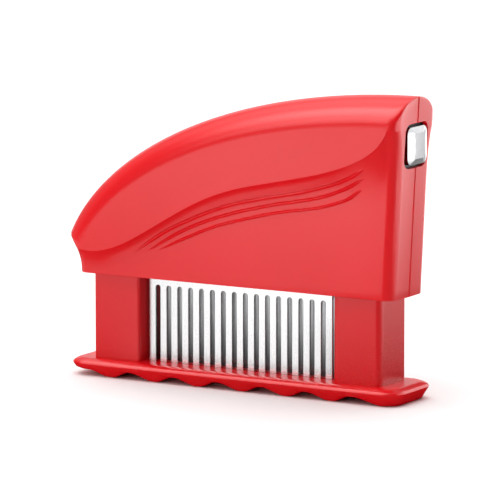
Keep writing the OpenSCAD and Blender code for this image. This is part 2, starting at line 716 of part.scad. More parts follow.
module spring_pin(x) color(steel) translate([x, 0, 0]) {
    translate([0, 0, floor_z + stroke + 3]) cylinder(r = pin_r, h = arm_z1 - floor_z - stroke - 3, $fn = 32);
    translate([0, 0, arm_z1]) cylinder(r = pin_r + 1, h = 1.6, $fn = 32);
}
module left_spring_pin() spring_pin(left_spring_x);
module right_spring_pin() spring_pin(right_spring_x);

module button_spring(y) color(steel) translate([bracket_x1, y, handle_z + button_z]) rotate([0, 90, 0])
    coil(button_spring_r, button_spring_wire, flange_x0 - bracket_x1, 5);
module front_button_spring() button_spring(-button_spring_y);
module rear_button_spring() button_spring(button_spring_y);

// ---- release button ----
module button_cap() color(bright) difference() {
    union() {
        button_block(flange_x1, bevel_x0, button_w, button_h, button_r);
        hull() {
            button_block(bevel_x0 - 0.1, bevel_x0, button_w, button_h, button_r);
            button_block(button_x1 - 0.1, button_x1, bevel_w, bevel_h, 1.4);
        }
    }
    along_x(0, handle_z + button_z, screw_r + hole_gap, flange_x1 - 1, flange_x1 + 3.2);
}

module latch_slide() color(grey) difference() {
    union() {
        translate([flange_x0, -slide_y, flange_z0]) cube([slide_t, 2 * slide_y, flange_z1 - flange_z0]);
        translate([leg_x0, -head_w / 2 - 1, head_z0 - 1])
            cube([slide_t, head_w + 2, flange_z0 + 3 - head_z0 + 1]);
        translate([leg_x0, -head_w / 2 - 1, flange_z0]) cube([flange_x0 - leg_x0 + 0.5, head_w + 2, 3]);
        translate([tongue_x1, -neck_w / 2, head_z0]) cube([leg_x0 - tongue_x1 + eps, neck_w, head_h]);
        translate([tongue_x0 - 0.5, -head_w / 2, head_z0]) cube([col_t + 0.7, head_w, head_h]);
    }
    along_x(0, handle_z + button_z, screw_r + hole_gap, flange_x0 - 1, flange_x1 + 1);
}

module button_screw() color(steel) difference() {
    union() {
        along_x(0, handle_z + button_z, screw_head_r, flange_x0 - 1.4, flange_x0);
        along_x(0, handle_z + button_z, screw_r, flange_x0 - 1, flange_x1 + 3);
    }
    translate([flange_x0 - 1.4, 0, handle_z + button_z]) rotate([0, 90, 0]) cross_recess([0, 0, 0]);
}

foot_plate();
left_column();
right_column();
foot_screws();
front_shell();
rear_shell();
shell_screws();
guide_frame();
front_blade_comb();
middle_blade_comb();
rear_blade_comb();
front_comb_spacer();
rear_comb_spacer();
front_clamp_bar();
rear_clamp_bar();
blade_rivets();
left_return_spring();
right_return_spring();
left_spring_pin();
right_spring_pin();
front_button_spring();
rear_button_spring();
button_cap();
latch_slide();
button_screw();
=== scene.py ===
import json
from math import asin, cos, pi, radians, sin

import bmesh
import bpy
from mathutils import Matrix, Vector

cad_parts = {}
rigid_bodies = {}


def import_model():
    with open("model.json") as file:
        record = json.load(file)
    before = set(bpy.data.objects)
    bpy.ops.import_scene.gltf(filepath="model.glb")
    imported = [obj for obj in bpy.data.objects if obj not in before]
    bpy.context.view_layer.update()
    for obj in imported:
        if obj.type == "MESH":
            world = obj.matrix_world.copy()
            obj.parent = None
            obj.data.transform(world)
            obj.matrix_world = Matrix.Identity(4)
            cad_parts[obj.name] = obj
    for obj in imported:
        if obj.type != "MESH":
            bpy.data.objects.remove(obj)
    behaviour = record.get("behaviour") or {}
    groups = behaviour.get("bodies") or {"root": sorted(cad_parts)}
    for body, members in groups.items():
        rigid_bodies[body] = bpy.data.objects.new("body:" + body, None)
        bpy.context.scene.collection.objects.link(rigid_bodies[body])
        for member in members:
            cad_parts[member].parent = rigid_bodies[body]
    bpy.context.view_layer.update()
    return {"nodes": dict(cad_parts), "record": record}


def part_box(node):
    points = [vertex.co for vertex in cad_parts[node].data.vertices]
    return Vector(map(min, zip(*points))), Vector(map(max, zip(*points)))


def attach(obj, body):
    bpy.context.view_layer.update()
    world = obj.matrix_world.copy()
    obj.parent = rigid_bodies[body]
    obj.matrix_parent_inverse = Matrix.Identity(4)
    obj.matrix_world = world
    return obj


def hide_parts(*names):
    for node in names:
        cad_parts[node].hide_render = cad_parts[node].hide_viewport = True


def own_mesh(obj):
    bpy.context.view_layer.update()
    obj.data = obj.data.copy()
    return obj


for thing in list(bpy.data.objects):
    bpy.data.objects.remove(thing)
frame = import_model()
nodes = frame["nodes"]
record = frame["record"]
slotOf = {part["node"]: part["material_slot"] for part in record["subparts"]}
bodyOf = {node: body for body, members in record["behaviour"]["bodies"].items() for node in members}
travelOf = {joint["name"]: joint["range_m"][1] for joint in record["behaviour"]["joints"]}
mm = 0.001
near = 0.001  # what is nearer than this touches


def boxOf(node):
    low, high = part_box(node)
    return low / mm, high / mm


# what one socket gives: arithmetic on it adds Math nodes to its finish
class Value:
    def __init__(self, finish, socket):
        self.finish = finish
        self.socket = socket

    def maths(self, operation, *terms):
        return self.finish.add("Math", {"operation": operation}, dict(enumerate(terms)))

    def __add__(self, other):
        return self.maths("ADD", self, other)

    def __radd__(self, other):
        return self.maths("ADD", other, self)

    def __mul__(self, other):
        return self.maths("MULTIPLY", self, other)

    def __rmul__(self, other):
        return self.maths("MULTIPLY", other, self)


# a material, or the world round the scene, and the calls that fill its node tree
class Finish:
    def __init__(self, name, world=None):
        self.material = world or bpy.data.materials.new(name)
        self.material.use_nodes = True
        self.tree = self.material.node_tree
        self.tree.nodes.clear()
        shader, result = ("Background", "OutputWorld") if world else ("BsdfPrincipled", "OutputMaterial")
        self.shader = self.tree.nodes.new("ShaderNode" + shader)
        surface = self.tree.nodes.new("ShaderNode" + result).inputs["Surface"]
        self.tree.links.new(self.shader.outputs[0], surface)
        self.place = self.add("TexCoord", output="Generated" if world else "Object")

    # one node, with its settings and then the values or links of its sockets
    def add(self, kind, settings={}, values={}, output=0):
        node = self.tree.nodes.new("ShaderNode" + kind)
        for name, setting in settings.items():
            setattr(node, name, setting)
        self.fill(node, values)
        return Value(self, node.outputs[output])

    def fill(self, node, values):
        for name, value in values.items():
            if isinstance(value, Value):
                self.tree.links.new(value.socket, node.inputs[name])
            else:
                node.inputs[name].default_value = value

    def set(self, values):
        self.fill(self.shader, values)

    # a length or a dot product comes out at "Value", all else at "Vector"
    def vector(self, operation, *terms, output="Vector"):
        return self.add("VectorMath", {"operation": operation}, dict(enumerate(terms)), output)

    # noise with `size` mm between its features, stretched along each axis
    def noise(self, size, stretch=(1, 1, 1), detail=2, roughness=0.5):
        place = self.add("Mapping", {}, {"Vector": self.place, "Scale": [1 / s for s in stretch]})
        values = {"Vector": place, "Scale": 1 / (size * mm), "Detail": detail, "Roughness": roughness}
        return self.add("TexNoise", {}, values)

    # 0 to 1 as a value goes from low to high
    def step(self, value, low, high):
        values = {"Value": value, "From Min": low, "From Max": high}
        return self.add("MapRange", {"interpolation_type": "SMOOTHSTEP"}, values)

    # the colour sockets of a Mix node are its inputs 6 and 7 and its output 2
    def mix(self, share, first, second):
        return self.add("Mix", {"data_type": "RGBA"}, {0: share, 6: first, 7: second}, 2)

    def bump(self, height, depth):
        self.set({"Normal": self.add("Bump", {}, {"Height": height, "Distance": depth * mm})})

    def heightOverTable(self):
        return self.add("SeparateXYZ", {}, {"Vector": self.place}, "Z")


def shade(r, g, b):
    return (r, g, b, 1)


# where the noise turns one tone into the other, and what each noise adds to the roughness
plastic = {"tones": (0.3, 0.7), "cloudRough": 0.05, "grainRough": 0.04}
steel = {"tones": (0.35, 0.65), "streakRough": 0.10, "smearRough": 0.06}


def mouldedPlastic(name, look):
    finish = Finish(name)
    cloud = finish.noise(look["cloud"], detail=3)
    grain = finish.noise(look["grain"], detail=3, roughness=0.6)
    finish.set({
        "Base Color": finish.mix(finish.step(cloud, *plastic["tones"]), look["colour"], look["deeper"]),
        "Roughness": look["roughness"] + plastic["cloudRough"] * cloud + plastic["grainRough"] * grain,
        "IOR": look["ior"],
    })
    finish.bump(grain, look["grainDepth"])
    return finish.material


def drawnSteel(name, look):
    finish = Finish(name)
    streaks = finish.noise(look["streak"], stretch=look["along"], detail=4, roughness=0.65)
    smears = finish.noise(look["smear"])
    colour = finish.mix(finish.step(streaks, *steel["tones"]), look["colour"], look["deeper"])
    # painted shade: a darker tone laid over the steel towards the table, where less light reaches between the
    # combs
    if "tip" in look:
        paintedShadeShare = finish.step(finish.heightOverTable(), look["tipTo"] * mm, look["tipFrom"] * mm)
        colour = finish.mix(paintedShadeShare, colour, look["tip"])
    finish.set({
        "Base Color": colour,
        "Metallic": look["metallic"],
        "Roughness": look["roughness"] + steel["streakRough"] * streaks + steel["smearRough"] * smears,
    })
    finish.bump(streaks, look["streakDepth"])
    return finish.material


# sizes of the noises and depths of the relief are millimetres, colours are linear
print("finishes")
redLook = {
    "colour": shade(0.77, 0.003, 0.008), "deeper": shade(0.74, 0.002, 0.006),
    "roughness": 0.20, "ior": 1.46, "cloud": 45, "grain": 0.35, "grainDepth": 0.0022,
}
# painted shade: the columns take a darker copy of the handle's red, for the shade under the handle
shadedColumnLook = {
    **redLook, "roughness": 0.22,
    "colour": shade(0.70, 0.003, 0.008), "deeper": shade(0.67, 0.002, 0.006),
}
frameLook = {
    **redLook, "roughness": 0.46, "grain": 0.6, "grainDepth": 0.010,
    "colour": shade(0.36, 0.006, 0.010), "deeper": shade(0.32, 0.005, 0.008),
}
nylonLook = {
    "colour": shade(0.050, 0.050, 0.054), "deeper": shade(0.040, 0.040, 0.043),
    "roughness": 0.42, "ior": 1.5, "cloud": 12, "grain": 0.5, "grainDepth": 0.008,
}
bladeLook = {
    "colour": shade(0.90, 0.90, 0.90), "deeper": shade(0.85, 0.85, 0.86),
    "metallic": 0.8, "roughness": 0.12,
    "streak": 0.25, "along": (1, 1, 40), "streakDepth": 0.0006, "smear": 9,
}
# painted shade: the combs behind the front one are a darker copy of the blade steel, for the shade they stand
# in, and darken further with painted shade towards the table, from the height where it starts down to where
# it is deepest
shadedBackBladeLook = {
    **bladeLook, "metallic": 1, "roughness": 0.14, "streak": 0.8,
    "colour": shade(0.46, 0.46, 0.47), "deeper": shade(0.20, 0.20, 0.205),
    "tip": shade(0.09, 0.09, 0.092), "tipFrom": 7, "tipTo": 34,
}
barLook = {
    "colour": shade(0.60, 0.60, 0.61), "deeper": shade(0.50, 0.50, 0.51),
    "metallic": 1, "roughness": 0.24,
    "streak": 0.3, "along": (30, 1, 1), "streakDepth": 0.002, "smear": 6,
}
springLook = {
    "colour": shade(0.66, 0.65, 0.63), "deeper": shade(0.52, 0.51, 0.50),
    "metallic": 1, "roughness": 0.22,
    "streak": 0.4, "along": (1, 1, 3), "streakDepth": 0.001, "smear": 4,
}
screwLook = {
    "colour": shade(0.72, 0.72, 0.70), "deeper": shade(0.58, 0.58, 0.57),
    "metallic": 1, "roughness": 0.22,
    "streak": 0.5, "along": (1, 1, 1), "streakDepth": 0.002, "smear": 2,
}
chromeLook = {
    "colour": shade(0.26, 0.26, 0.265), "deeper": shade(0.24, 0.24, 0.245),
    "metallic": 1, "roughness": 0.09,
    "streak": 1.6, "along": (1, 1, 1), "streakDepth": 0.0008, "smear": 3,
}
finishOf = {
    "handle_plastic": mouldedPlastic("handleRed", redLook),
    "foot_plastic": mouldedPlastic("footRed", {**redLook, "cloud": 30, "grain": 0.3}),
    "column_plastic": mouldedPlastic("columnRed", shadedColumnLook),
    "frame_plastic": mouldedPlastic("frameRed", frameLook),
    "spacer_plastic": mouldedPlastic("nylonGrey", nylonLook),
    "blade_steel": drawnSteel("bladeSteel", bladeLook),
    "bar_steel": drawnSteel("barSteel", barLook),
    "spring_steel": drawnSteel("springSteel", springLook),
    "screw_steel": drawnSteel("screwSteel", screwLook),
    "button_chrome": drawnSteel("buttonChrome", chromeLook),
}
# a copy of the blade steel with painted shade, for the combs behind the front one
darkSteel = drawnSteel("darkSteel", shadedBackBladeLook)


def linked(name, data):
    thing = bpy.data.objects.new(name, data)
    bpy.context.scene.collection.objects.link(thing)
    return thing


# the mesh as a finished piece of the tool, standing for a CAD node
def addPiece(name, mesh, node, sharpFrom=32):
    mesh.materials.clear()
    mesh.materials.append(finishOf[slotOf[node]])
    mesh.shade_smooth()
    mesh.set_sharp_from_angle(angle=radians(sharpFrom))
    piece = linked(name, mesh)
    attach(piece, bodyOf[node])
    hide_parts(node)
    return piece


# flat faces keep their own normals where rounded edges join them
def flatShaded(piece):
    weigh = piece.modifiers.new("weigh", "WEIGHTED_NORMAL")
    weigh.mode = "FACE_AREA"
    weigh.weight = 100
    weigh.keep_sharp = True


def meshOf(bm, name):
    bmesh.ops.recalc_face_normals(bm, faces=bm.faces)
    mesh = bpy.data.meshes.new(name)
    bm.to_mesh(mesh)
    bm.free()
    return mesh


def merge(bm, within):
    bmesh.ops.remove_doubles(bm, verts=bm.verts, dist=within * mm)


def sharpEdges(bm, angle):
    return [e for e in bm.edges if len(e.link_faces) == 2 and e.calc_face_angle(0) > radians(angle)]


def roundEdges(bm, edges, width, segments):
    bmesh.ops.bevel(
        bm, geom=list(edges), offset=width * mm, offset_type="OFFSET", affect="EDGES",
        segments=segments, profile=0.5, clamp_overlap=True, material=-1,
    )


# the name of a CAD node in camelCase
def pieceName(node):
    words = node.split("_")
    return words[0] + "".join(word.capitalize() for word in words[1:])


# a copy of a CAD node's mesh with its doubles merged
def copyOf(node):
    bm = bmesh.new()
    bm.from_mesh(nodes[node].data)
    merge(bm, near)
    return bm


softening = {"flatWithin": 1, "sharperThan": 40, "segments": 2, "leftovers": 0.002}


# such a copy with its flat faces joined and its sharp edges rounded
def softened(node, width):
    bm = copyOf(node)
    bmesh.ops.dissolve_limit(bm, angle_limit=radians(softening["flatWithin"]), verts=bm.verts, edges=bm.edges)
    roundEdges(bm, sharpEdges(bm, softening["sharperThan"]), width, softening["segments"])
    merge(bm, softening["leftovers"])
    return bm


def roller(bm, start, radius, depth, axis, sides=48):
    turn = Vector((0, 0, 1)).rotation_difference(Vector(axis)).to_matrix().to_4x4()
    middle = Vector(start) * mm + Vector(axis) * depth * mm / 2
    bmesh.ops.create_cone(
        bm, cap_ends=True, segments=sides, radius1=radius * mm, radius2=radius * mm,
        depth=depth * mm, matrix=Matrix.Translation(middle) @ turn,
    )


# the mesh after cutting away, or adding, a second mesh
def carved(mesh, other, operation):
    held = linked("held", mesh)
    tool = linked("tool", other)
    cut = held.modifiers.new("cut", "BOOLEAN")
    cut.object = tool
    cut.operation = operation
    cut.solver = "MANIFOLD"
    result = bpy.data.meshes.new_from_object(held.evaluated_get(bpy.context.evaluated_depsgraph_get()))
    for thing in (held, tool):
        bpy.data.objects.remove(thing)
    return result


# a grid of vertices, put where the rows of points say
def laidGrid(bm, rows):
    across, down = len(rows[0]), len(rows)
    made = bmesh.ops.create_grid(bm, x_segments=across - 1, y_segments=down - 1, size=1)["verts"]
    made.sort(key=lambda v: (round(v.co.y, 6), round(v.co.x, 6)))
    for vertex, point in zip(made, (p for row in rows for p in row)):
        vertex.co = point


# a rounded rectangle across Z or X, drawn through levels of (place on the axis, inset of its sides)
def stacked(bm, centre, width, height, corner, levels, axis="Z", lean=0, segments=8):
    made = bmesh.ops.create_grid(bm, x_segments=1, y_segments=1, size=0.5 * mm)["verts"]
    bmesh.ops.scale(bm, vec=(width, height, 1), verts=made)
    cut = bmesh.ops.bevel(
        bm, geom=list(made[0].link_faces[0].verts), offset=corner * mm, offset_type="OFFSET",
        affect="VERTICES", segments=segments, profile=0.5, clamp_overlap=True, material=-1,
    )
    face = next(f for f in bm.faces if all(v in f.verts for v in cut["verts"][:3]))
    ring = list(face.verts)
    outline = [v.co.copy() for v in ring]
    rings = []
    for spot, inset in levels:
        if rings:
            edges = [bm.edges.get(ends) for ends in zip(ring, ring[1:] + ring[:1])]
            fresh = set(bmesh.ops.extrude_edge_only(bm, edges=edges)["geom"])
            ring = [next(e.other_vert(v) for e in v.link_edges if e.other_vert(v) in fresh) for v in ring]
        wide, high = inset if isinstance(inset, tuple) else (inset, inset)
        shrink = Vector((1 - 2 * wide / width, 1 - 2 * high / height, 0))
        for v, co in zip(ring, outline):
            v.co = co * shrink + Vector((0, 0, spot * mm))
        rings.append(ring)
    bmesh.ops.contextual_create(bm, geom=ring)
    verts = [v for ring in rings for v in ring]
    if axis == "X":
        turn = Matrix(((0, 0, 1), (1, 0, 0), (0, 1, 0)))  # X to Y, Y to Z and Z to X
        bmesh.ops.rotate(bm, verts=verts, cent=(0, 0, 0), matrix=turn)
    for v in verts:
        v.co.x += lean * v.co.z
    bmesh.ops.translate(bm, verts=verts, vec=Vector(centre) * mm)
    bmesh.ops.recalc_face_normals(bm, faces=bm.faces)


# heights are over the lower edge. The last two lines are the dish under the lip: how far down it runs along
# the side and at the button end, where the one starts to turn into the other, the powers of its curves, and
# the share of the lip's height that it takes at most, in front of the nose and how much less along the side
handleLow = boxOf("front_shell")[0]
handle = {
    "base": handleLow.z, "height": 77.8, "halfBulge": -handleLow.y, "halfPanel": 12.75, "wall": 1.9,
    "end": 72.9, "lean": 0.051, "corner": 4.5, "crown": 0.3, "endDome": 11, "endRound": 0.6,
    "endSpread": 0.6, "spreadFrom": 30, "spreadOver": 35,
    "nose": 77.6, "noseHeight": 16, "noseDraw": 8.3, "noseDome": 12.5, "lipFront": Vector((7.7, 1.6)),
    "frontInset": Vector((0.89, 0.48)), "tipInset": Vector((1.15, 0.15)), "baseRound": 0.15,
    "scoop": 8, "fade": 28, "fadeFrom": 45, "curl": 1.2, "creaseEase": 3.4,
    "scoopMost": 0.9, "scoopLess": 0.1,
}
# counts of rows, and where they lie. arc goes round the bulge and the nose, endRows are shares of the end's
# half width, lipRows lie close together below the lip, and flatRows are distances above it
handleMesh = {
    "sideRows": 240, "cornerRows": 12, "arc": 22, "endRows": (0.66, 0.33), "panelRows": 14,
    "lipRows": 104, "lipReach": 17, "lipReachMost": 0.72,
    "flatRows": [0, 0.25, 0.5, 0.8, 1.2, 1.8, 3, 5, 8], "flatMost": 0.9,
    "seam": 0.25, "seamDepth": 0.3, "halfGap": 0.02, "doubles": 0.004,
    "creases": 14, "baseCorners": 60, "baseWithin": 0.01,
}
cornerFrom = handle["end"] - handle["corner"]
# the top line, and the lip's halves before and behind its middle: four Bezier points each, as (x, height)
topCurve = [Vector(p) for p in (
    (-handle["nose"], handle["noseHeight"]),
    (-handle["nose"] + 15.6, 0.68 * handle["height"]),
    (-2, handle["height"] + 0.2),
    (handle["end"], handle["height"]),
)]
lipMiddle = Vector((-0.4, 0.486 * handle["height"]))
lipLow = [Vector(p) for p in (
    (-handle["nose"] + 6.2, handle["noseHeight"] - 5.1),
    (-handle["nose"] + 29, handle["noseHeight"] - 12.7),
    (-32.1, lipMiddle.y - 10.1),
    lipMiddle,
)]
lipHigh = [Vector(p) for p in (
    lipMiddle,
    (21.2, lipMiddle.y + 7),
    (cornerFrom - 5.2, lipMiddle.y + 9.2),
    (cornerFrom, handle["height"] - handle["endDome"] - 0.9),
)]
# raised ribs below the lip: a line just under each rib's crest, from the nose to the button end
ribLines = [
    [(-42.8, 9.5), (-35.6, 14.4), (-26.4, 20.0), (-17.2, 24.4), (-8.1, 28.3), (0.9, 31.5), (10.0, 33.9),
     (21.1, 36.4), (32.3, 38.7), (41.1, 41.1), (49.9, 43.9), (56.5, 47.0), (60.6, 49.6)],
    [(-36.5, 10.4), (-26.4, 16.6), (-17.2, 21.3), (-8.1, 25.0), (0.9, 28.0), (10.0, 30.5), (21.1, 33.2),
     (32.3, 35.4), (41.1, 37.4), (47.7, 39.6), (54.3, 42.4), (59.8, 45.8)],
    [(-31.5, 11.2), (-21.8, 15.8), (-12.7, 19.8), (-3.6, 23.3), (10.0, 27.1), (21.2, 29.9), (32.3, 31.9),
     (41.1, 33.5), (47.7, 35.4), (54.3, 38.0), (59.1, 41.6)],
]
# rise and fall are the widths of a rib's upper and lower flank. slimmer, thinnest and tail are shares, and
# from is the share of the panel's half width past which a vertex is on the side
rib = {
    "lift": 0.45, "height": 0.85, "rise": 1.0, "fall": 0.8, "slimmer": 0.13, "thinnest": 0.35,
    "taper": 12, "taperPower": 0.7, "tail": 0.35, "tailPower": 0.5, "from": 0.6,
}
ribCrests = [[(x, z + rib["lift"]) for x, z in line] for line in ribLines]


def bezier(points, t):
    a, b, c, d = points
    s = 1 - t
    return a * s ** 3 + b * 3 * s * s * t + c * 3 * s * t * t + d * t ** 3


def bezierHeading(points, t):
    a, b, c, d = points
    s = 1 - t
    return ((b - a) * s * s + (c - b) * 2 * s * t + (d - c) * t * t).normalized()


# the share of the way along the curve at which it comes to x
def shareAt(points, x):
    low, high = 0, 1
    for i in range(24):
        middle = (low + high) / 2
        if bezier(points, middle).x < x:
            low = middle
        else:
            high = middle
    return (low + high) / 2


# height of the lip at x
def lipAt(x):
    if x < lipMiddle.x:
        return bezier(lipLow, shareAt(lipLow, max(x, lipLow[0].x))).y
    return bezier(lipHigh, shareAt(lipHigh, min(x, cornerFrom))).y


def smooth(q):
    q = min(1, max(0, q))
    return q * q * (3 - 2 * q)


def fadeAt(x):
    return smooth((x - handle["fadeFrom"]) / (cornerFrom - handle["fadeFrom"]))


# a point of the handle, y out from the middle towards the front, leaning with the height
def handlePoint(x, y, z):
    return Vector((x + handle["lean"] * z, -y, handle["base"] + z)) * mm


# the bulge's section down to its edge, as (y, drop) for each share of the way: a quarter of an ellipse, and
# round the end's corner between a smaller ellipse and one that the corner cuts off
def sectionAt(share, y, drop, half):
    turn = pi / 2 * share
    small = Vector((y * sin(turn), drop * y / half * (1 - cos(turn))))
    cut = asin(y / half) * share
    return small + (Vector((half * sin(cut), drop * (1 - cos(cut)))) - small) * handle["endRound"]


# stations along the bulge, for a skin that lies `inset` inside: top, edge, y of the edge
def bulgeRows(inset):
    rows = []
    half = handle["halfBulge"] - inset
    corner = handle["corner"] - inset
    cornerShare = shareAt(topCurve, cornerFrom)
    for k in range(handleMesh["sideRows"] + 1):
        share = k / handleMesh["sideRows"]
        top = bezier(topCurve, cornerShare * share)
        heading = bezierHeading(topCurve, cornerShare * share)
        inward = Vector((heading.y, -heading.x))
        radius = handle["noseDome"] + (handle["endDome"] - handle["noseDome"]) * share
        sink = handle["tipInset"] if k == 0 else inward
        rows.append((top + inset * sink, top + radius * inward, half))
    for k in range(1, handleMesh["cornerRows"] + 1):
        turn = pi / 2 * k / handleMesh["cornerRows"]
        x = cornerFrom + corner * sin(turn)
        z = bezier(topCurve, shareAt(topCurve, x)).y - inset
        y = half - corner * (1 - cos(turn))
        edge = Vector((x, z - sectionAt(1, y, handle["endDome"] - inset, half).y))
        rows.append((Vector((x, z)), edge, y))
    return rows


def bulgePoint(row, share, inset):
    top, edge, y = row
    half = handle["halfBulge"] - inset
    side, drop = sectionAt(share, y, 1, half)
    spot = top + (edge - top) * drop / sectionAt(1, y, 1, half).y
    return handlePoint(spot.x, side, spot.y)


# one column below the bulge: lip, y of the lip, x and y at the lower edge, share of the way round the nose;
# without a share the column is on the side
def columnAt(row, share, inset):
    corner = handle["corner"] - inset
    front = -handle["nose"] + handle["noseDraw"] + inset
    lip = Vector((row[1].x, lipAt(row[1].x)))
    if share is None:
        spread = handle["endSpread"] * smooth((lip.x - handle["spreadFrom"]) / handle["spreadOver"])
        foot = (max(lip.x, front + corner), row[2] - handle["halfBulge"] + handle["halfPanel"] + spread)
        return lip, row[2], foot, 1
    flat = handle["halfPanel"] - inset - corner
    reach = Vector((-handle["lipFront"].x, handle["lipFront"].y)) + inset * handle["frontInset"]
    turn = pi * (share - 0.5)
    if share < 0.5:
        foot = (front, flat * 2 * share)
    else:
        foot = (front + corner * (1 - cos(turn)), flat + corner * sin(turn))
    half = handle["halfBulge"] - inset
    return lip + cos(pi / 2 * share) * reach, half * sin(pi / 2 * share), foot, share


# a column's points from the edge of the bulge down to the lower edge
def columnPoints(column, top, inset):
    lip, lipSide, foot, share = column
    fade = fadeAt(lip.x)
    scoop = handle["scoop"] + (handle["fade"] - handle["scoop"]) * fade
    most = (handle["scoopMost"] - handle["scoopLess"] * share) * lip.y
    deep = min(most, (1 - share) * lip.y + share * scoop)
    lipPoint = handlePoint(lip.x, lipSide, lip.y)
    flats = handleMesh["flatRows"]
    length = max((top - lipPoint).length / mm, 2 * flats[-1])
    points = [top]
    points += [lipPoint + (top - lipPoint) * min(handleMesh["flatMost"], d / length) for d in flats[:0:-1]]
    reach = min(handleMesh["lipReach"], handleMesh["lipReachMost"] * lip.y)
    lipRows, panelRows = handleMesh["lipRows"], handleMesh["panelRows"]
    drops = [reach * i / lipRows for i in range(lipRows)]
    drops += [reach + (lip.y - reach) * i / panelRows for i in range(panelRows + 1)]
    for drop in drops:
        left = 1 - min(1, drop / deep)
        bulge = (1 - fade) * left ** (handle["curl"] * (1 + share)) + fade * left ** handle["creaseEase"]
        x = lip.x + (foot[0] - lip.x) * drop / lip.y
        y = foot[1] + (lipSide - foot[1]) * bulge
        points.append(handlePoint(x, y, lip.y - drop))
    return points


# one skin of the front half: bulge, side and nose, and the button end
def halfSkin(bm, inset):
    rows = bulgeRows(inset)
    seam, arc = handleMesh["seam"], handleMesh["arc"]
    seamShare = 2 / pi * asin(seam / handle["halfBulge"])
    shares = [0, seamShare] + [i / arc for i in range(1, arc + 1)]
    bulge = [[bulgePoint(row, s, inset) for s in shares] for row in rows]
    side = [columnPoints(columnAt(rows[0], s, inset), top, inset) for s, top in zip(shares, bulge[0])]
    for row, line in zip(rows[1:], bulge[1:]):
        side.append(columnPoints(columnAt(row, None, inset), line[-1], inset))
    crown = Vector((handle["crown"] * mm, 0, 0))
    end = []
    for point in bulge[-1][1:] + side[-1][1:]:
        half = -point.y
        across = [share * half for share in handleMesh["endRows"]] + [min(seam * mm, half / 2), 0]
        end.append([point] + [Vector((point.x, -y, point.z)) + crown * (1 - (y / half) ** 2) for y in across])
    for grid in (bulge, side, end):
        laidGrid(bm, grid)
    merge(bm, handleMesh["doubles"])


# height at x of a smooth line through the points, whose slope at each is that between its neighbours
def heightOn(line, x):
    i = max(k for k in range(len(line) - 1) if line[k][0] <= x or k == 0)
    (x0, z0), (x1, z1) = line[i], line[i + 1]
    before = line[i - 1] if i > 0 else (2 * x0 - x1, 2 * z0 - z1)
    after = line[i + 2] if i + 2 < len(line) else (2 * x1 - x0, 2 * z1 - z0)
    rise0 = (z1 - before[1]) / (x1 - before[0]) * (x1 - x0)
    rise1 = (after[1] - z0) / (after[0] - x0) * (x1 - x0)
    q = (x - x0) / (x1 - x0)
    return (z0 * (2 * q ** 3 - 3 * q * q + 1) + rise0 * (q ** 3 - 2 * q * q + q)
            + z1 * (3 * q * q - 2 * q ** 3) + rise1 * (q ** 3 - q * q))


# length of the line over a run of 1 at x, taken as straight
def slopeLength(line, x):
    rise = heightOn(line, x + 0.5) - heightOn(line, x - 0.5)
    return (1 + rise * rise) ** 0.5


# how far the ribs stand out of the side there
def ribHeight(x, z):
    height = 0
    for i, line in enumerate(ribCrests):
        start, end = line[0][0], line[-1][0]
        if not start < x < end:
            continue
        below = (heightOn(line, x) - z) / slopeLength(line, x)
        ends = min(1, (x - start) / rib["taper"]) ** rib["taperPower"]
        ends *= min(1, (end - x) / (rib["tail"] * rib["taper"])) ** rib["tailPower"]
        width = (1 - rib["slimmer"] * i) * (rib["thinnest"] + (1 - rib["thinnest"]) * ends)
        flank = rib["rise"] if below < 0 else rib["fall"]
        height += ends * smooth(1 - abs(below) / (flank * width))
    return rib["height"] * min(1, height)


def smoothCreases(bm):
    creases = {v for e in sharpEdges(bm, handleMesh["creases"]) for v in e.verts if not v.is_boundary}
    bmesh.ops.smooth_vert(
        bm, verts=list(creases), factor=0.5, use_axis_x=True, use_axis_y=True, use_axis_z=True,
    )


# the front half: an outer skin with a sunken seam line, an inner skin, and the rims between them
def halfShell():
    bm = bmesh.new()
    halfSkin(bm, 0)
    smoothCreases(bm)
    for v in bm.verts:
        if v.co.y < -rib["from"] * handle["halfPanel"] * mm:
            v.co.y -= ribHeight(v.co.x / mm, v.co.z / mm - handle["base"]) * mm
    bm.normal_update()
    for v in bm.verts:
        if abs(v.co.y) < near * mm:
            v.co -= Vector((v.normal.x, 0, v.normal.z)).normalized() * handleMesh["seamDepth"] * mm
            v.co.y = -handleMesh["halfGap"] * mm
    outerRim = {e for e in bm.edges if e.is_boundary}
    halfSkin(bm, handle["wall"])
    rims = [e for e in bm.edges if e.is_boundary]
    for v in {v for e in rims if e not in outerRim for v in e.verts}:
        v.co.y = min(v.co.y, -handleMesh["halfGap"] * mm)
    bmesh.ops.bridge_loops(bm, edges=rims)
    bmesh.ops.recalc_face_normals(bm, faces=bm.faces)
    lowest = (handle["base"] + handleMesh["baseWithin"]) * mm
    corners = [e for e in sharpEdges(bm, handleMesh["baseCorners"]) if all(v.co.z < lowest for v in e.verts)]
    roundEdges(bm, corners, handle["baseRound"], segments=2)
    return bm


# the button's face lies sunk behind the box of its node, and slopes by drop over the widths in bevel
capLow, capHigh = boxOf("button_cap")
button = {
    "width": capHigh.y - capLow.y, "height": capHigh.z - capLow.z, "middle": (capLow.z + capHigh.z) / 2,
    "corner": 2.8, "bevel": (3.8, 2.3), "drop": 1.15, "sunk": 0.4, "sharpFrom": 20, "soft": 0.5,
}
# the rim's easing turns outwards at a share of its depth
window = {"gap": 1.2, "corner": 3.4, "ease": 0.45, "turn": 0.3, "inside": 6, "outside": 3}


# a bar that cuts the button's window through the end, and eases its rim
def windowBar():
    face = handle["end"] + handle["crown"] + handle["lean"] * (button["middle"] - handle["base"])
    turn = window["turn"] * window["ease"]
    bm = bmesh.new()
    stacked(
        bm, (0, 0, button["middle"]), button["width"] + 2 * window["gap"],
        button["height"] + 2 * window["gap"], window["corner"],
        [(face - window["inside"], 0), (face - window["ease"], 0), (face - turn, -turn),
         (face + window["outside"], -window["outside"])],
        axis="X", lean=handle["lean"],
    )
    return meshOf(bm, "window")


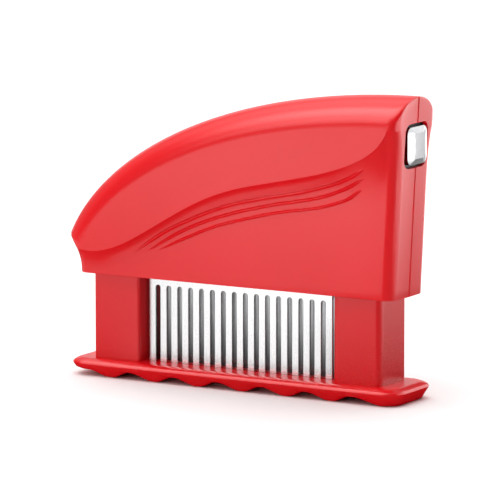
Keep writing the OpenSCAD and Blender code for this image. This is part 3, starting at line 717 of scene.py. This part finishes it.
# screws as (x, share of the handle's height): the high posts meet in the middle, the low ones on the frame
screws = {
    "high": [(-30, 0.55), (4, 0.70), (38, 0.79)], "low": [(-6, 0.355), (32, 0.355)],
    "highPostFrom": 0.02, "lowPostFrom": 7.1, "post": 3.4, "rearPost": 4.4,
    "hole": 1.6, "holeFrom": -1, "bore": 3.1, "boreLength": 20, "headDepth": 2.2,
}
# x, z, and how far from the middle the post starts and the shell's side lies
screwSpots = [
    (x, share * handle["height"] + handle["base"], start, reach)
    for row, start, reach in (("high", screws["highPostFrom"], handle["halfBulge"]),
                              ("low", screws["lowPostFrom"], handle["halfPanel"]))
    for x, share in screws[row]
]


# the posts end in the middle of the wall; way is -1 on the front half and 1 on the rear half
def screwPosts(way, radius):
    bm = bmesh.new()
    for x, z, start, reach in screwSpots:
        roller(bm, (x, way * start, z), radius, reach - start - 0.5 * handle["wall"], (0, way, 0))
    return meshOf(bm, "posts")


def screwBores():
    bm = bmesh.new()
    for x, z, start, reach in screwSpots:
        roller(bm, (x, screws["holeFrom"], z), screws["hole"], reach, (0, 1, 0))
        roller(bm, (x, reach - screws["headDepth"], z), screws["bore"], screws["boreLength"], (0, 1, 0))
    return meshOf(bm, "bores")


print("handle")
front = meshOf(halfShell(), "frontShell")
rear = front.copy()
rear.transform(Matrix.Scale(-1, 4, (0, 1, 0)))
rear.flip_normals()
front = carved(front, screwPosts(-1, screws["post"]), "UNION")
rear = carved(rear, screwPosts(1, screws["rearPost"]), "UNION")
rear = carved(rear, screwBores(), "DIFFERENCE")
addPiece("frontHandleShell", carved(front, windowBar(), "DIFFERENCE"), "front_shell")
addPiece("rearHandleShell", carved(rear, windowBar(), "DIFFERENCE"), "rear_shell")

print("button")
capFace = capHigh.x - button["sunk"]
bm = bmesh.new()
stacked(
    bm, (0, 0, button["middle"]), button["width"], button["height"], button["corner"],
    [(capLow.x, 0), (capFace - button["drop"], 0), (capFace, button["bevel"])], axis="X",
)
roundEdges(bm, sharpEdges(bm, button["sharpFrom"]), button["soft"], segments=3)
flatShaded(addPiece("releaseButton", meshOf(bm, "releaseButton"), "button_cap", sharpFrom=40))

footLow, footHigh = boxOf("foot_plate")
footMiddle = (footLow + footHigh) / 2
# the profile is (height, inset) up the rim. waveCrest, lastWave, waveFlat and waveOver are shares, and the
# screws' counterbores run from boreFrom up to the seat
foot = {
    "corner": 7.5, "profile": [
        (0, 3.0), (0.12, 2.55), (0.5, 2.15), (3.1, 0.85), (4.1, 0.3), (4.85, 0.0), (5.3, 0.15), (5.8, 0.55),
        (6.3, 1.3), (6.7, 2.25), (6.9, 3.2),
    ],
    "slice": 1, "waveFrom": 8, "wavePitch": 20, "waves": 7, "waveDepth": 2.6, "waveTop": 3.1,
    "waveCrest": 0.57, "lastWave": 0.77, "waveFlat": 0.88, "waveOver": 0.04,
    "slotMiddle": 1, "slotLength": 83.5, "slotWidth": 1.6, "slotPitch": 5, "through": 30,
    "screws": [(-58.8, -6.1), (-46.6, 6.1), (49.65, -6.1), (62.35, 6.1)],
    "bore": 3.1, "boreFrom": -2, "seat": 3.8, "hole": 1.6, "holeFrom": 2, "holeLength": 12,
}


# height of the wavy underside at x
def waveAt(x):
    run = (x - footLow.x - foot["waveFrom"]) / foot["wavePitch"]
    flat = foot["waveFlat"] * foot["waveDepth"]
    if run <= 0:
        return flat
    if run >= foot["waves"] - 1:
        phase = min(0.5, 0.5 * (run - foot["waves"] + 1) / foot["lastWave"])
    else:
        part = run % 1
        crest = foot["waveCrest"]
        phase = 0.5 * part / crest if part < crest else 0.5 + 0.5 * (part - crest) / (1 - crest)
    swing = (1 + foot["waveOver"]) * foot["waveDepth"] * (1 + cos(2 * pi * phase)) / 2
    return max(0, min(swing - foot["waveOver"] * foot["waveDepth"], flat if run < 0.5 else foot["waveDepth"]))


print("foot")
bm = bmesh.new()
stacked(bm, (footMiddle.x, 0, 0), footHigh.x - footLow.x, footHigh.y - footLow.y, foot["corner"],
        foot["profile"], segments=10)
# cuts across, so that the underside can follow the waves: it lifts, and what is over waveTop stays
x = footLow.x + foot["slice"]
while x < footHigh.x - foot["slice"] / 2:
    everything = bm.verts[:] + bm.edges[:] + bm.faces[:]
    bmesh.ops.bisect_plane(bm, geom=everything, plane_co=(x * mm, 0, 0), plane_no=(1, 0, 0))
    x += foot["slice"]
for v in bm.verts:
    if v.co.z < (foot["waveTop"] - near) * mm:
        lift = waveAt(v.co.x / mm)
        v.co.z = lift * mm + v.co.z * (1 - lift / foot["waveTop"])
plate = meshOf(bm, "footPlate")
bm = bmesh.new()
for row in (-1, 0, 1):
    spot = Matrix.Translation(Vector((foot["slotMiddle"], row * foot["slotPitch"], 0)) * mm)
    shape = Matrix.Diagonal((foot["slotLength"], foot["slotWidth"], foot["through"], 1))
    bmesh.ops.create_cube(bm, size=mm, matrix=spot @ shape)
for x, y in foot["screws"]:
    roller(bm, (x, y, foot["boreFrom"]), foot["bore"], foot["seat"] - foot["boreFrom"], (0, 0, 1))
    roller(bm, (x, y, foot["holeFrom"]), foot["hole"], foot["holeLength"], (0, 0, 1))
plate = carved(plate, meshOf(bm, "slots"), "DIFFERENCE")
flatShaded(addPiece("footPlate", plate, "foot_plate", sharpFrom=35))

# pieces that only need their edges rounded, with the width of the rounding
edgeWidths = {
    "left_column": 0.35, "right_column": 0.35, "guide_frame": 0.25, "latch_slide": 0.2,
    "front_comb_spacer": 0.15, "rear_comb_spacer": 0.15, "front_clamp_bar": 0.2, "rear_clamp_bar": 0.2,
}
for node, width in edgeWidths.items():
    name = pieceName(node)
    flatShaded(addPiece(name, meshOf(softened(node, width), name), node))
    print(name)

# the joint that squashes each spring, and the axis that the spring lies along
springs = {
    "left_return_spring": ("handle_press", 2), "right_return_spring": ("handle_press", 2),
    "front_button_spring": ("button_press", 0), "rear_button_spring": ("button_press", 0),
}
for node, (joint, way) in springs.items():
    name = pieceName(node)
    spring = addPiece(name, meshOf(copyOf(node), name), node, sharpFrom=60)
    low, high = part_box(node)
    1 - travelOf[joint] / (high - low)[way]
    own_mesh(spring)
    print(name)

# finishes of the nodes that stay as they are
for node, thing in nodes.items():
    # painted shade: the middle and rear combs take the shaded copy of the blade steel
    behind = node in ("middle_blade_comb", "rear_blade_comb")
    thing.material_slots[0].material = darkSteel if behind else finishOf[slotOf[node]]


# which way a direction points: azimuth from the front (-Y) towards the button end (+X), and height
def headingOf(azimuth, elevation):
    azimuth, elevation = radians(azimuth), radians(elevation)
    return Vector((sin(azimuth) * cos(elevation), -cos(azimuth) * cos(elevation), sin(elevation)))


print("room")
view = {
    "azimuth": 30.47, "elevation": 8.897, "distance": 1903.5, "aim": (2.41, 0, 53.74),
    "lens": 350.6, "film": 36, "nearest": 50,
}
toCamera = headingOf(view["azimuth"], view["elevation"])
lens = bpy.data.cameras.new("camera")
lens.lens = view["lens"]
lens.sensor_width = view["film"]
lens.clip_start = view["nearest"] * mm
camera = linked("camera", lens)
camera.location = (Vector(view["aim"]) + view["distance"] * toCamera) * mm
camera.rotation_euler = toCamera.to_track_quat("Z", "Y").to_euler()
bpy.context.scene.camera = camera

paper = {"reach": 6000, "colour": shade(0.90, 0.90, 0.90), "roughness": 0.7}
finish = Finish("paper")
finish.set({"Base Color": paper["colour"], "Roughness": paper["roughness"], "Specular IOR Level": 0})
bm = bmesh.new()
bmesh.ops.create_grid(bm, x_segments=1, y_segments=1, size=paper["reach"] * mm)
floor = linked("floor", meshOf(bm, "floor"))
floor.data.materials.append(finish.material)

lamp = {"from": (-270, 108, 2250), "size": 3060, "watts": 50}
light = bpy.data.lights.new("overhead", "AREA")
light.size = lamp["size"] * mm
light.energy = lamp["watts"]
overhead = linked("overhead", light)
overhead.location = Vector(lamp["from"]) * mm
overhead.rotation_euler = (Vector(lamp["from"]) - Vector(view["aim"])).to_track_quat("Z", "Y").to_euler()
overhead.visible_glossy = False


# light by direction: a base, and soft glows as (azimuth, elevation, inner angle, outer angle, strength)
def glowing(finish, way, base, glows):
    shine = base
    for azimuth, elevation, inner, outer, strength in glows:
        along = finish.vector("DOT_PRODUCT", way, headingOf(azimuth, elevation), output="Value")
        shine = shine + strength * finish.step(along, cos(radians(outer)), cos(radians(inner)))
    return shine


# a shape with a glow of its own, which only reflections see
def addCard(name, bm, finish, colour, strength):
    finish.set({"Base Color": shade(0, 0, 0), "Roughness": 1, "Specular IOR Level": 0,
                "Emission Color": colour, "Emission Strength": strength})
    card = linked(name, meshOf(bm, name))
    card.data.materials.append(finish.material)
    card.visible_camera = card.visible_diffuse = card.visible_shadow = card.visible_transmission = False


def plainCard(name, bm, strength):
    addCard(name, bm, Finish(name), shade(1, 1, 1), strength)


def shadedCard(name, bm, finish, shine):
    addCard(name, bm, finish, finish.add("CombineColor", {}, {0: shine, 1: shine, 2: shine}), 1)


# the table in reflections: sectors round a centre that grow brighter out to farEnough, which is in metres,
# and dark round the tool, whose half size it takes
table = {
    "reach": 3000, "height": 0.4, "centre": (72, -14, 0), "farEnough": 0.68,
    "half": (78, 16, 1), "darkFrom": 28, "darkTo": 66,
    "glows": [(-60, 0, 30, 42, 2.6), (-32, 0, 4, 11, 2.9), (105, 0, 35, 46, 9.5), (165, 0, 10, 36, 2.9),
              (-150, 0, 30, 45, 2.5)],
}
finish = Finish("tableCard")
away = finish.vector("SUBTRACT", finish.place, Vector(table["centre"]) * mm)
away = finish.vector("MULTIPLY", away, (1, 1, 0))
distance = finish.vector("LENGTH", away, output="Value")
distance = distance.maths("MINIMUM", distance, table["farEnough"])
past = finish.vector("ABSOLUTE", finish.place)
past = finish.vector("SUBTRACT", past, Vector(table["half"]) * mm)
past = finish.vector("MAXIMUM", past, (0, 0, 0))
gap = finish.vector("LENGTH", past, output="Value")
shine = glowing(finish, finish.vector("NORMALIZE", away), 0, table["glows"])
shine = shine * distance * finish.step(gap, table["darkFrom"] * mm, table["darkTo"] * mm)
bm = bmesh.new()
bmesh.ops.create_grid(bm, x_segments=1, y_segments=1, size=table["reach"] * mm,
                      matrix=Matrix.Translation((0, 0, table["height"] * mm)))
shadedCard("tableCard", bm, finish, shine)

# bright where the front blades mirror the table, just above the table card: a strip that runs out from the
# blades, on a slant away from the camera
strip = {
    "left": -49, "right": 45, "nearSide": 38, "farSide": 240, "slant": 0.589, "from": -5, "height": 0.8,
    "glow": 1.15,
}
bm = bmesh.new()
for v in bmesh.ops.create_grid(bm, x_segments=1, y_segments=1, size=1)["verts"]:
    across = strip["right"] if v.co.x > 0 else strip["left"]
    out = strip["farSide"] if v.co.y < 0 else strip["nearSide"]
    v.co = Vector((across - strip["slant"] * out, strip["from"] - out, strip["height"])) * mm
plainCard("bladeStrip", bm, strip["glow"])

# dark where the button end's front corner mirrors the table
shadow = {"centre": (238, -100, 0.8), "radius": 120}
bm = bmesh.new()
bmesh.ops.create_circle(bm, cap_ends=True, segments=48, radius=shadow["radius"] * mm,
                        matrix=Matrix.Translation(Vector(shadow["centre"]) * mm))
plainCard("cornerShade", bm, 0)

# the soft boxes of the studio, as glows on a tent round the tool
tent = {
    "radius": 2500,
    "glows": [(-48, 62, 5, 34, 5.3), (-128, 63, 5, 40, 1.55), (-36, 30, 5, 15, 3.5), (-22, 2, 6, 19, 1.5),
              (-105, 12, 10, 34, 0.25), (130, 5, 40, 56, 3.0), (-150, 8, 12, 26, 0.75)],
}
finish = Finish("tent")
shine = glowing(finish, finish.vector("NORMALIZE", finish.place), 0, tent["glows"])
bm = bmesh.new()
bmesh.ops.create_uvsphere(bm, u_segments=48, v_segments=24, radius=tent["radius"] * mm)
shadedCard("tent", bm, finish, shine)

# even light all round, weaker from the button end
studio = {"base": 0.985, "glows": [(88, 5, 32, 92, -0.90), (-150, 10, 20, 80, 0.16)]}
world = bpy.data.worlds.new("studio")
world.cycles_visibility.glossy = False
finish = Finish("studio", world)
strength = glowing(finish, finish.place, studio["base"], studio["glows"])
finish.set({"Color": shade(1, 1, 1), "Strength": strength})
bpy.context.scene.world = world
bpy.context.scene.view_settings.view_transform = "Standard"
